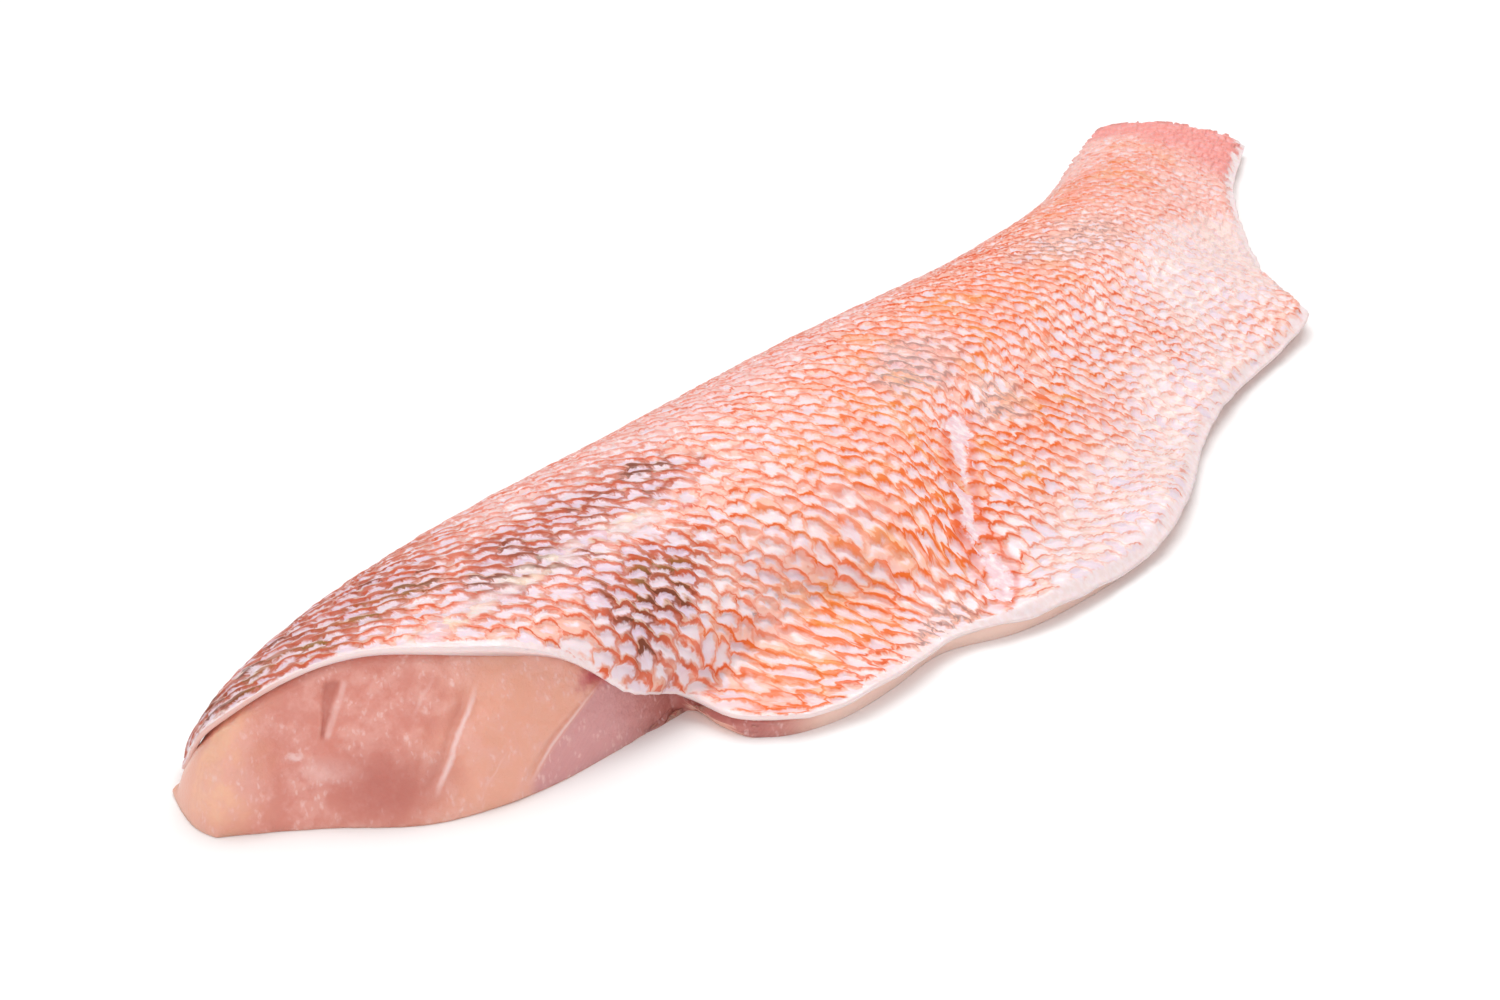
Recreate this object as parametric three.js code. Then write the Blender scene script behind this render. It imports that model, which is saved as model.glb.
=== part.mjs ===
// A redfish fillet, skin side up: the boned side of one fish, lying on its flesh.
// It is two solids, the flesh and the skin that wraps its top and its back edge.
// Millimetres, +Z up. +X runs from the head cut to the tail, +Y from the belly to the back.
// The shape is drawn in a working frame on the table and moved at the end, so that the
// origin is under the middle of the fillet's box, on the table.

import * as THREE from 'three';

// ---- Driving dimensions -------------------------------------------------------------------

const NAPE_X = -97;              // back edge, where the head cut starts
const FLAP_X = -46;              // front corner of the belly flap
const TAIL_BACK_X = 127;         // tail cut, back corner
const TAIL_BELLY_X = 136;        // tail cut, belly corner
const FIN_TIP_X = 85.5;          // pointed corner left where the anal fin was cut away
const FIN_TIP_Y = -45.8;

const LOIN_HEIGHT = 20;          // thickest place, a quarter of the way along
const THINNEST = 3;              // the least height of the skin over the table
const SKIN_AT_HEAD = 1.3;        // skin with the white layer under it
const SKIN_AT_TAIL = 0.8;
const SKIN_AT_EDGE = 0.7;        // the bare skin along the belly edge
const SKIN_GAP = 0.45;           // between the skin and the flesh
const FLAP_EXTRA_GAP = 0.3;      // added round the tight corner of the belly flap
const SKIN_OVERHANG = 1.4;       // how far the skin reaches past the flesh at the belly

const CUT_LEAN = 9;              // how far the head cut leans back at its top
const CUT_UNDERCUT = 1.8;        // how far it is undercut beside the belly flap
const CUT_BULGE = 1.4;           // how far the cut flesh swells between skin and table
const CUT_DROP = 3.2;            // how far the cut's top edge drops in front of the flap
const FLAP_SAG = 2;              // how far the body sags beside it

const CREASE_DEPTH = 0.9;        // the fold where the belly wall ends
const CREASE_REACH = 5;
const CREASE_LIP = 0.45;         // height of the lip beside it, for each mm of its depth
const SEAM_RIDGE = 0.3;          // soft ridge where back and belly muscle meet
const SEAM_REACH = 0.2;          // its half width, as a share of the way across
const WAVE_HEIGHT = 0.55;        // long waves across the belly wall
const WAVE_LENGTH = 30;
const RUFFLE_HEIGHT = 0.9;       // short ruffle along its bare edge
const RUFFLE_LENGTH = 7.5;
const CAVITY_HOLLOW = 1.6;       // the belly cavity, under the flap
const RIM_ROUNDING = 0.6;        // the flesh's lower rim draws in by this much

// The grid. s counts steps from head to tail and t from back to belly.
const ALONG = 62;
const ACROSS = 22;
const WALL_ROWS = 4;             // steps down the cut faces of the flesh

// ---- Small helpers ------------------------------------------------------------------------

const { clamp, lerp, smoothstep } = THREE.MathUtils;

// A smooth curve through knots [place, value].
function through(...knots) {
  const places = knots.map((knot) => knot[0]);
  const values = knots.map((knot) => knot[1]);
  const curve = new THREE.CubicInterpolant(places, values, 1);
  return (place) => curve.evaluate(clamp(place, places[0], places.at(-1)))[0];
}

// A soft bump of height 1 at the centre, gone at the given reach.
function bump(distance, reach) {
  const r = Math.min(Math.abs(distance) / reach, 1);
  return (1 - r * r) ** 2;
}

// ---- Plan outline -------------------------------------------------------------------------

// Back edge, y over x: nearly straight, hollow in front of the tail.
const backEdge = through(
  [NAPE_X, 24], [-80, 26.8], [-55, 27], [-25, 23.5], [20, 16.5], [60, 9.5],
  [88, 5.5], [102, 6], [114, 8.5], [TAIL_BACK_X, 10.5],
);

// Belly edge, y over x: the two lobes of the flap as far as the fin corner, then the tail.
const bellyEdge = through(
  [FLAP_X, -36], [-40, -39.5], [-30, -41.8], [-19, -43.2], [-12, -48.4], [2, -53],
  [16, -54.8], [28, -52.8], [44, -47.6], [62, -45.4], [76, -45.8], [FIN_TIP_X, FIN_TIP_Y],
);
const tailEdge = through(
  [FIN_TIP_X, FIN_TIP_Y], [92, -36.5], [102, -27.8], [116, -18.6], [TAIL_BELLY_X, -11.5],
);

// Head cut on the table: x and y over the share of the way from the back edge to the flap.
const cutX = through(
  [0, NAPE_X], [0.12, -101.9], [0.19, -98.2], [0.3, -92], [0.4, -87.2], [0.5, -79.6],
  [0.6, -71], [0.72, -59.4], [0.84, -48.4], [0.92, -51], [1, FLAP_X],
);
const cutY = through(
  [0, 24], [0.12, 14.2], [0.19, 9.4], [0.3, 1.3], [0.4, -6.4], [0.5, -11.8],
  [0.6, -15.4], [0.72, -18], [0.84, -20.4], [0.92, -28.5], [1, -36],
);

// How much of the head cut's bend is left at s: all at the cut, none from 0.3 on.
const bendLeft = (s) => (1 - smoothstep(s, 0, 0.3)) ** 1.2;

// Where a point of the fillet lies on the table. s and t run from 0 to 1.
function plan(s, t) {
  const back = new THREE.Vector2(lerp(NAPE_X, TAIL_BACK_X, s), 0);
  back.y = backEdge(back.x);
  const finShare = (FIN_TIP_X - FLAP_X) / (TAIL_BELLY_X - FLAP_X);
  const belly = new THREE.Vector2(lerp(FLAP_X, TAIL_BELLY_X, s), 0);
  belly.y = s < finShare ? bellyEdge(belly.x) : tailEdge(belly.x);
  const point = back.clone().lerp(belly, t);
  const straight = new THREE.Vector2(lerp(NAPE_X, FLAP_X, t), lerp(cutY(0), cutY(1), t));
  point.x += (cutX(t) - straight.x) * bendLeft(s);
  point.y += (cutY(t) - straight.y) * bendLeft(s);
  return point;
}

// ---- Heights ------------------------------------------------------------------------------

// Over s: the height of the crest, its place across, and the heights at both edges.
const crestHeight = through(
  [0, 19.7], [0.12, 20], [0.25, LOIN_HEIGHT], [0.45, 17.6], [0.65, 13.8],
  [0.8, 10], [0.92, 6.8], [1, 5],
);
const crestPlace = through([0, 0.36], [0.15, 0.38], [0.4, 0.36], [0.7, 0.4], [1, 0.45]);
const backHeight = through([0, THINNEST], [0.1, 4.2], [0.3, THINNEST], [1, THINNEST]);
const bellyHeight = through([0, 3.4], [0.3, THINNEST], [0.72, THINNEST], [0.8, 3.6], [1, THINNEST]);

// How slowly the back side rises: bluff behind the cut, and gentler at the cut itself.
const fullnessAt = through([0, 0.85], [0.03, 0.65], [0.1, 0.57], [0.35, 0.8], [1, 0.8]);

// Height of the skin's outer face over the table, before folds and ripples. The back side
// rises like a quarter of an ellipse, the belly side falls away in a flatter curve.
function dome(s, t) {
  const crest = crestHeight(s);
  const place = crestPlace(s);
  if (t < place) {
    const rise = (1 - (1 - t / place) ** 2.1) ** fullnessAt(s);
    return lerp(backHeight(s), crest, rise);
  }
  const r = (t - place) / (1 - place);
  const curved = Math.cos((Math.PI / 2) * r) ** 1.25;
  const fall = lerp(curved, 1 - r, 0.35 * r);
  return lerp(bellyHeight(s), crest, fall);
}

// The body sags beside the belly flap, and the cut's top edge drops further there.
function drop(s, t) {
  const nearCut = 1 - smoothstep(s, 0, 0.1);
  const besideFlap = 1 - smoothstep(s, 0.1, 0.35);
  return CUT_DROP * nearCut * bump(t - 0.8, 0.22) + FLAP_SAG * besideFlap * bump(t - 0.78, 0.3);
}

// The crease where the belly wall folds up against the fin runs aslant across the plan,
// x over y: a groove with a raised lip on its head side.
const creaseX = through([-45, -13], [-33.5, -1], [-20, 18]);
const CREASE_MIDDLE_Y = -33;
const CREASE_HALF_LENGTH = 15;
const ACROSS_CREASE = 0.72;      // distance square to the crease for each mm of x

function crease(point) {
  const strength = bump(point.y - CREASE_MIDDLE_Y, CREASE_HALF_LENGTH);
  const distance = (point.x - creaseX(point.y)) * ACROSS_CREASE;
  const groove = -bump(distance, CREASE_REACH);
  const lip = CREASE_LIP * bump(distance + CREASE_REACH, 1.5 * CREASE_REACH);
  return CREASE_DEPTH * strength * (groove + lip);
}

function folds(s, t, point) {
  const seamPlace = lerp(0.62, 0.5, s);
  const ridge = SEAM_RIDGE * bump(t - seamPlace, SEAM_REACH) * (1 - smoothstep(s, 0.25, 0.5));
  const wave = Math.sin((2 * Math.PI * point.x) / WAVE_LENGTH + 3 * t);
  const ruffle = Math.sin((Math.PI * point.x) / RUFFLE_LENGTH + 1.1) ** 2;
  const ripples = WAVE_HEIGHT * smoothstep(t, 0.6, 1) * wave
    + RUFFLE_HEIGHT * smoothstep(t, 0.88, 1) * ruffle;
  const inTheBody = smoothstep(s, 0, 0.06) * (1 - smoothstep(s, 0.86, 1));
  return crease(point) + ridge + ripples * inTheBody;
}

// ---- The four faces -----------------------------------------------------------------------

// The skin's outer face. At the head cut it leans back, and it is undercut by the flap.
function outer(s, t) {
  const point = plan(s, t);
  const z = Math.max(dome(s, t) - drop(s, t) + folds(s, t, point), THINNEST);
  const leanShare = Math.sin(Math.PI * clamp(t / 0.72, 0, 1)) ** 1.1;
  const lean = CUT_LEAN * leanShare - CUT_UNDERCUT * bump(t - 0.8, 0.16);
  const nearCut = 1 - smoothstep(s, 0, 0.12);
  return new THREE.Vector3(point.x + lean * nearCut, point.y + 0.35 * lean * nearCut, z);
}

function normalAt(s, t) {
  const step = 0.004;
  const alongS = outer(Math.min(s + step, 1), t).sub(outer(Math.max(s - step, 0), t));
  const acrossT = outer(s, Math.max(t - step, 0)).sub(outer(s, Math.min(t + step, 1)));
  return alongS.cross(acrossT).normalize();
}

function skinThickness(s, t) {
  const body = lerp(SKIN_AT_HEAD, SKIN_AT_TAIL, smoothstep(s, 0, 0.35));
  return lerp(body, SKIN_AT_EDGE, smoothstep(t, 0.75, 1));
}

function inner(s, t) {
  return outer(s, t).addScaledVector(normalAt(s, t), -skinThickness(s, t));
}

// The flesh's upper face lies under the skin and stops short of its belly edge.
function fleshTop(s, t) {
  const width = plan(s, 0).distanceTo(plan(s, 1));
  const stop = t - (SKIN_OVERHANG / width) * smoothstep(t, 0.75, 1);
  const byTheFlap = (1 - smoothstep(s, 0.05, 0.15)) * smoothstep(t, 0.6, 0.8);
  const depth = skinThickness(s, stop) + SKIN_GAP + FLAP_EXTRA_GAP * byTheFlap;
  return outer(s, stop).addScaledVector(normalAt(s, stop), -depth);
}

// The flesh lies flat on the table, with a rounded rim, a shallow hollow under the flap
// where the belly cavity was, and its lower face half way between the plan and the top.
function fleshBottom(s, t) {
  const top = fleshTop(s, t);
  const point = plan(s, t * 0.985);
  const fromRim = Math.min(t, 1 - t);
  const inset = RIM_ROUNDING * (1 - smoothstep(fromRim, 0, 0.06));
  const inwards = plan(s, 0.5).sub(point).normalize();
  const followTop = 0.5 * smoothstep(s, 0, 0.02) * smoothstep(fromRim, 0.04, 0.18);
  const x = lerp(point.x, top.x, followTop) + inwards.x * inset;
  const y = lerp(point.y, top.y, followTop) + inwards.y * inset;
  const hollow = CAVITY_HOLLOW * bump(s - 0.2, 0.16) * bump(t - 0.7, 0.22);
  return new THREE.Vector3(x, y, Math.min(hollow, 0.4 * Math.max(top.z, 0)));
}

// ---- Closed solids ------------------------------------------------------------------------

// A closed body between an upper and a lower face. Both are functions of (s, t). The wall
// between their rims has the given number of rows, and swell(s, t) pushes its middle out.
function closedBody(upper, lower, rows, swell) {
  const positions = [];
  const index = [];
  const add = (v) => positions.push(v.x, v.y, v.z) / 3 - 1;
  const quad = (a, b, c, d) => index.push(a, b, c, a, c, d);
  const grid = (face) => Array.from({ length: ALONG + 1 }, (_, i) =>
    Array.from({ length: ACROSS + 1 }, (_, j) => add(face(i / ALONG, j / ACROSS))));
  const top = grid(upper);
  const bottom = grid(lower);
  for (let i = 0; i < ALONG; i++) {
    for (let j = 0; j < ACROSS; j++) {
      quad(top[i][j], top[i][j + 1], top[i + 1][j + 1], top[i + 1][j]);
      quad(bottom[i][j], bottom[i + 1][j], bottom[i + 1][j + 1], bottom[i][j + 1]);
    }
  }
  // The rim, once round: head cut, belly edge, tail cut, back edge.
  const rim = [];
  for (let j = 0; j < ACROSS; j++) rim.push([0, j]);
  for (let i = 0; i < ALONG; i++) rim.push([i, ACROSS]);
  for (let j = ACROSS; j > 0; j--) rim.push([ALONG, j]);
  for (let i = ALONG; i > 0; i--) rim.push([i, 0]);
  const rings = [rim.map(([i, j]) => top[i][j])];
  for (let row = 1; row < rows; row++) {
    const share = row / rows;
    rings.push(rim.map(([i, j]) => {
      const high = upper(i / ALONG, j / ACROSS);
      const low = lower(i / ALONG, j / ACROSS);
      const outwards = swell(i / ALONG, j / ACROSS);
      return add(high.lerp(low, share).addScaledVector(outwards, Math.sin(Math.PI * share)));
    }));
  }
  rings.push(rim.map(([i, j]) => bottom[i][j]));
  for (let row = 0; row < rows; row++) {
    for (let k = 0; k < rim.length; k++) {
      const next = (k + 1) % rim.length;
      quad(rings[row][next], rings[row][k], rings[row + 1][k], rings[row + 1][next]);
    }
  }
  const geometry = new THREE.BufferGeometry();
  geometry.setAttribute('position', new THREE.Float32BufferAttribute(positions, 3));
  geometry.setIndex(index);
  geometry.computeVertexNormals();
  return geometry;
}

// The cut flesh swells out of the head cut; the other walls are straight.
function cutSwell(s, t) {
  if (s > 0) return new THREE.Vector3();
  const alongCut = plan(0, Math.min(t + 0.02, 1)).sub(plan(0, Math.max(t - 0.02, 0)));
  const outwards = new THREE.Vector3(alongCut.y, -alongCut.x, 0).normalize();
  return outwards.multiplyScalar(CUT_BULGE * Math.sin(Math.PI * clamp(t / 0.78, 0, 1)));
}

const still = () => new THREE.Vector3();

// ---- The parts ----------------------------------------------------------------------------

function makeFlesh() {
  const material = new THREE.MeshStandardMaterial({ color: 0xd99682, roughness: 0.35, metalness: 0 });
  const flesh = new THREE.Mesh(closedBody(fleshTop, fleshBottom, WALL_ROWS, cutSwell), material);
  flesh.name = 'flesh';
  return flesh;
}

function makeSkin() {
  const material = new THREE.MeshStandardMaterial({ color: 0xf2a78e, roughness: 0.4, metalness: 0 });
  const skin = new THREE.Mesh(closedBody(outer, inner, 1, still), material);
  skin.name = 'skin';
  return skin;
}

const fillet = new THREE.Group();
fillet.add(makeFlesh(), makeSkin());

// The origin goes under the middle of the fillet's box.
const box = new THREE.Box3().setFromObject(fillet, true);
const middle = box.getCenter(new THREE.Vector3());
fillet.position.set(-middle.x, -middle.y, -box.min.z);

export default fillet;
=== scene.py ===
# %% [markdown]
# # A redfish fillet
# This notebook dresses a CAD model of a fish fillet: the boned side of one redfish that
# lies skin side up. The CAD model gives two plain solids, the flesh and the skin. Each of
# them gets a fine mesh here with its own relief, and a finish made of nodes.
#
# The first cell loads the CAD model. Everything is in metres, and in the CAD model's own
# frame: +X runs from the head cut to the tail, +Y from the belly to the back, +Z up.

import math

import bmesh
import bpy
import numpy as np
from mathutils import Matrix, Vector


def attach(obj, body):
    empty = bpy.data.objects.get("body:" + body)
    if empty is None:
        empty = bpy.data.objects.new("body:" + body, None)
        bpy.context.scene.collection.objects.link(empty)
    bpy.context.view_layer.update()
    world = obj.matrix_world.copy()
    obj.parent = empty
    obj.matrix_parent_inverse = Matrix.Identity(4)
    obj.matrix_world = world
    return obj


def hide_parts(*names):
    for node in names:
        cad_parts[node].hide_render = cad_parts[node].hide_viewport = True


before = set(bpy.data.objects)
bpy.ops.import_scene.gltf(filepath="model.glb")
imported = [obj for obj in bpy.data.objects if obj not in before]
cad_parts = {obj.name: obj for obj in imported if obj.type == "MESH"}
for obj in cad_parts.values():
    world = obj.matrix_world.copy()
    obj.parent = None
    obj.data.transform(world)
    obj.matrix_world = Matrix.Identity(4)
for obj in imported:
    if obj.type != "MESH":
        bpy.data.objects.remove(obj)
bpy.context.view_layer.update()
MM = 0.001

# %% [markdown]
# ## The camera
# The photograph looks down on the fillet from its head end. A long lens from half a metre
# away gives the same mild perspective. The camera is placed by going back from the point
# that it aims at, and then turned to face that point.

# %% Camera
CAMERA_DISTANCE = 0.5324
CAMERA_ELEVATION = math.radians(30)
CAMERA_HEADING = math.radians(30.855)      # from +X towards +Y
CAMERA_AIM = Vector((-0.0172, 0.01374, 0))     # where the lens points, on the table
CAMERA_LENS = 93.6                         # millimetres, on a 36 mm sensor

flat_heading = Vector((math.cos(CAMERA_HEADING), math.sin(CAMERA_HEADING), 0))
looking = flat_heading * math.cos(CAMERA_ELEVATION)
looking.z = -math.sin(CAMERA_ELEVATION)
bpy.ops.object.camera_add(
    location=CAMERA_AIM - looking * CAMERA_DISTANCE,
    rotation=looking.to_track_quat("-Z", "Y").to_euler(),
)
camera = bpy.context.object
camera.data.lens = CAMERA_LENS
bpy.context.scene.camera = camera
print("camera at", [round(c, 3) for c in camera.location])

# %% [markdown]
# ## Colours
# The colours in this file are written as a paint program shows them, from 0 to 255. Blender
# calculates with linear light, so a helper converts them once.

# %% A colour helper
def paint(red, green, blue):
    """A linear colour from the 0 to 255 numbers of a paint program."""
    linear = [((c / 255 + 0.055) / 1.055) ** 2.4 for c in (red, green, blue)]
    return (*linear, 1.0)


print("a middle grey is", round(paint(128, 128, 128)[0], 3), "in linear light")

# %% [markdown]
# ## A class for node maths
# A finish is a sum of patterns, and a sum is easier to read as `a + b * c` than as a chain
# of nodes. `Wire` stands for a socket. When two wires are added, it puts a Math node in
# the tree, or a Vector Math node if the socket carries a vector. `Board` adds any other
# node. Both work in a material and in Geometry Nodes alike, and this is used below: the
# same function draws the pattern of the skin in relief and in colour.

# %% Wire
class Wire:
    """A socket that can stand in a sum."""

    def __init__(self, board, socket):
        self.board = board
        self.socket = socket

    def join(self, operation, *values):
        """Puts in a Math node, or a Vector Math node if the socket carries a vector."""
        if self.socket.type == "VALUE":
            made = self.board.node("ShaderNodeMath", {"operation": operation})
        else:
            made = self.board.node("ShaderNodeVectorMath", {"operation": operation})
            values = [(v,) * 3 if isinstance(v, (int, float)) else v for v in values]
        for socket, value in zip(made.inputs, values):
            self.board.feed(socket, value)
        return Wire(self.board, made.outputs[0])

    def __add__(self, other):
        return self.join("ADD", self, other)

    def __radd__(self, other):
        return self.join("ADD", other, self)

    def __sub__(self, other):
        return self.join("SUBTRACT", self, other)

    def __rsub__(self, other):
        return self.join("SUBTRACT", other, self)

    def __mul__(self, other):
        return self.join("MULTIPLY", self, other)

    def __rmul__(self, other):
        return self.join("MULTIPLY", other, self)

    def __truediv__(self, other):
        return self.join("DIVIDE", self, other)

    def least(self, other):
        """The smaller of the two."""
        return self.join("MINIMUM", self, other)

    def most(self, other):
        """The larger of the two."""
        return self.join("MAXIMUM", self, other)

    def size(self):
        """The value without its sign."""
        return self.join("ABSOLUTE", self)

    def rounded(self):
        """The nearest whole number."""
        return self.join("ROUND", self)

    def cosine(self):
        return self.join("COSINE", self)

    def length(self):
        """The length of a vector, as a value."""
        made = self.board.node("ShaderNodeVectorMath", {"operation": "LENGTH"}, {0: self})
        return Wire(self.board, made.outputs["Value"])


print("Wire has", len([n for n in dir(Wire) if not n.startswith("__")]), "named methods")

# %% [markdown]
# `Board` stands for the tree that the nodes are in. `node` adds any node at all, and the
# methods after it are short ways to the few kinds that this file needs often.

# %% Board
class Board:
    """Adds nodes to one tree."""

    def __init__(self, tree):
        self.tree = tree

    def feed(self, socket, value):
        """Links a wire to a socket, or sets the socket to a number or colour."""
        if isinstance(value, Wire):
            self.tree.links.new(value.socket, socket)
        else:
            socket.default_value = value

    def node(self, kind, settings=None, inputs=None):
        """A new node with its settings, and then the values or links of its sockets."""
        made = self.tree.nodes.new(kind)
        for name, value in (settings or {}).items():
            setattr(made, name, value)
        for key, value in (inputs or {}).items():
            self.feed(made.inputs[key], value)
        return made

    def wire(self, made, output=0):
        """One output of a node."""
        return Wire(self, made.outputs[output])

    def step(self, value, low, high, start=0.0, end=1.0):
        """Goes smoothly from start to end as value goes from low to high."""
        settings = {"interpolation_type": "SMOOTHSTEP"}
        inputs = {"Value": value, "From Min": low, "From Max": high}
        inputs.update({"To Min": start, "To Max": end})
        return self.wire(self.node("ShaderNodeMapRange", settings, inputs))

    def noise(self, vector, scale, detail=2.0, roughness=0.5, output="Fac"):
        """Soft random values around 0.5, or such colours."""
        inputs = {"Vector": vector, "Scale": scale, "Detail": detail, "Roughness": roughness}
        return self.wire(self.node("ShaderNodeTexNoise", {}, inputs), output)

    def mix(self, share, first, second):
        """A colour between two colours."""
        made = self.node("ShaderNodeMix", {"data_type": "RGBA"}, {0: share, 6: first, 7: second})
        return self.wire(made, 2)

    def parts(self, vector):
        """The x, y and z of a vector."""
        made = self.node("ShaderNodeSeparateXYZ", {}, {0: vector})
        return [self.wire(made, k) for k in range(3)]

    def vector(self, x, y):
        """A vector in a plane, with z at 0."""
        return self.wire(self.node("ShaderNodeCombineXYZ", {}, {0: x, 1: y}))


print("Board has", len([n for n in dir(Board) if not n.startswith("__")]), "named methods")

# %% [markdown]
# ## Floor and light
# The stage is a plain pale table in a bright room, as for a picture on white. The floor is
# a plane that reaches past the view, and it isn't part of the object.
# The Standard view transform keeps pale colours as they are, so that white stays white.

# %% Stage
FLOOR_SIZE = 6.0
bpy.context.scene.view_settings.view_transform = "Standard"

bpy.ops.mesh.primitive_plane_add(size=FLOOR_SIZE)
floor = bpy.context.object
floor.name = "floor"
floor_finish = bpy.data.materials.new("pale table")
floor_finish.use_nodes = True
floor_shader = floor_finish.node_tree.nodes["Principled BSDF"]
floor_shader.inputs["Base Color"].default_value = paint(254, 254, 254)
floor_shader.inputs["Roughness"].default_value = 0.7
floor.data.materials.append(floor_finish)

print("floor:", FLOOR_SIZE, "m wide")

# %% [markdown]
# The room gives light from all sides, so that no shadow is black. Three square lights give
# the shine and the soft shadow under the fillet: a large one overhead, and two smaller
# ones on the side of the head.

# %% Light
ROOM_BRIGHTNESS = 0.55

world = bpy.data.worlds.new("bright room")
world.use_nodes = True
world.node_tree.nodes["Background"].inputs["Color"].default_value = (1, 1, 1, 1)
world.node_tree.nodes["Background"].inputs["Strength"].default_value = ROOM_BRIGHTNESS
bpy.context.scene.world = world


def soft_light(name, place, aim, size, watts):
    """A square of light at a place, facing a point."""
    facing = Vector(aim) - Vector(place)
    turn = facing.to_track_quat("-Z", "Y").to_euler()
    bpy.ops.object.light_add(type="AREA", location=place, rotation=turn)
    light = bpy.context.object
    light.name = name
    light.data.shape = "SQUARE"
    light.data.size = size
    light.data.energy = watts


soft_light("ceiling light", (0.22, 0.1, 0.9), (0, 0, 0), 0.7, 5.1)
soft_light("window", (-0.75, 0.35, 0.6), (-0.05, 0, 0), 0.5, 1.0)
soft_light("front light", (-0.55, -0.35, 0.3), (-0.05, 0, 0), 0.5, 0.75)

# %% [markdown]
# ## The skin's cage
# The skin is one sheet that wraps the fillet. The CAD solid already has its form, as loose
# triangles about 4 mm wide. A copy of them is joined at the corners. Its outer face will
# become the cage that the Subdivision Surface modifier rounds.

# %% Copy the skin
def pick(piece):
    """Selects one object only, and makes it the active one."""
    bpy.ops.object.select_all(action="DESELECT")
    piece.select_set(True)
    bpy.context.view_layer.objects.active = piece


def joined_copy(node, name):
    """A copy of a CAD node with its triangles joined."""
    piece = bpy.data.objects.new(name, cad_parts[node].data.copy())
    bpy.context.scene.collection.objects.link(piece)
    pick(piece)
    bpy.ops.object.mode_set(mode="EDIT")
    bpy.ops.mesh.select_all(action="SELECT")
    bpy.ops.mesh.remove_doubles(threshold=0.001 * MM)
    bpy.ops.mesh.select_all(action="DESELECT")
    bpy.ops.object.mode_set(mode="OBJECT")
    return piece


skin = joined_copy("skin", "fish_skin")
print("skin:", len(skin.data.vertices), "corners,", len(skin.data.polygons), "triangles")

# %% [markdown]
# The outer face is a regular grid, rows from head to tail and columns from back to belly,
# and the pattern needs each point's place in it. So the grid is walked. Six edges meet at
# each corner, and straight on is the third edge round from the one just walked. The first
# row and the first column start at the nape and follow the sharp rim. Each further point
# is the one that touches its three neighbours.

# %% Walk the grid
SHARP = math.radians(40)


def straight_walk(start, edge):
    """The corners from a start along an edge, straight on, to the next end of the rim."""
    path = [start, edge.other_vert(start)]
    while len(path[-1].link_edges) == 6:
        loop = next(loop for loop in edge.link_loops if loop.vert == path[-1])
        for _ in range(3):
            loop = loop.link_loop_prev.link_loop_radial_next
        edge = loop.edge
        path.append(edge.other_vert(path[-1]))
    return path


def touching(corner):
    """The corners at the other ends of a corner's edges."""
    return {edge.other_vert(corner) for edge in corner.link_edges}


def walk_grid(cage):
    """The rows of the outer face's corners, from head to tail."""
    ends = [c for c in cage.verts if len(c.link_edges) < 6]
    nape = max(ends, key=lambda c: c.co.y - c.co.x + c.co.z)
    sharp_edges = [edge for edge in nape.link_edges if edge.calc_face_angle() > SHARP]
    walks = sorted((straight_walk(nape, edge) for edge in sharp_edges), key=len)
    _, head_cut, back_edge = walks           # the shortest goes through the skin
    rows = [head_cut]
    for first in back_edge[1:]:
        row = [first]
        for one, two in zip(rows[-1], rows[-1][1:]):
            row.append((touching(one) & touching(two) & touching(row[-1])).pop())
        rows.append(row)
    return rows


cage = bmesh.new()
cage.from_mesh(skin.data)
rows = walk_grid(cage)
STEPS_ALONG = len(rows) - 1
STEPS_ACROSS = len(rows[0]) - 1
print("grid:", STEPS_ALONG, "by", STEPS_ACROSS, "steps")

# %% [markdown]
# The edges that cut the quads in two are now dissolved, each corner's place goes into a UV
# map, and the rest of the solid is deleted: the thickness is made again below.

# %% Keep the outer face
diagonals = [
    cage.edges.get((one, two))
    for row, next_row in zip(rows, rows[1:])
    for one, two in zip(row, next_row[1:])
]
outer_faces = {face for edge in diagonals for face in edge.link_faces}
hidden = [face for face in cage.faces if face not in outer_faces]
bmesh.ops.delete(cage, geom=hidden, context="FACES")
bmesh.ops.dissolve_edges(cage, edges=diagonals, use_verts=False)
place_map = cage.loops.layers.uv.new("place")
for i, row in enumerate(rows):
    for j, corner in enumerate(row):
        for loop in corner.link_loops:
            loop[place_map].uv = (i / STEPS_ALONG, j / STEPS_ACROSS)
cage.to_mesh(skin.data)
cage.free()
print("outer face:", len(skin.data.polygons), "quads")

# %% [markdown]
# Three levels of subdivision turn each quad into 64, about half a millimetre wide. That is
# fine enough for the rims of the scale pockets, and it keeps the piece under 200,000
# triangles.

# %% Subdivide the sheet
FINER = 3


def apply_modifier(piece, name, kind, **settings):
    """Adds a modifier with these settings and applies it."""
    modifier = piece.modifiers.new(name, kind)
    for key, value in settings.items():
        setattr(modifier, key, value)
    pick(piece)
    bpy.ops.object.modifier_apply(modifier=name)


apply_modifier(
    skin, "Round", "SUBSURF", levels=FINER, render_levels=FINER,
    uv_smooth="NONE", boundary_smooth="PRESERVE_CORNERS",
)
print("fine sheet:", len(skin.data.polygons), "faces")

# %% [markdown]
# ## The net of scale pockets
# The scales are gone, and what shows is the net of skin between their pockets. It is a
# lattice of rhombs: two families of rows run at about 58 degrees to the fish's axis on
# either side, about 4 mm apart near the head and 2 mm at the tail. To draw it, each point
# of the skin gets its place in the lattice, counted in pockets along both families. Lengths
# are measured over the curved surface, so the pockets keep their size on the steep sides.
# First the corners of the fine mesh are sorted into a grid again, by their UV places.

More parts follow.
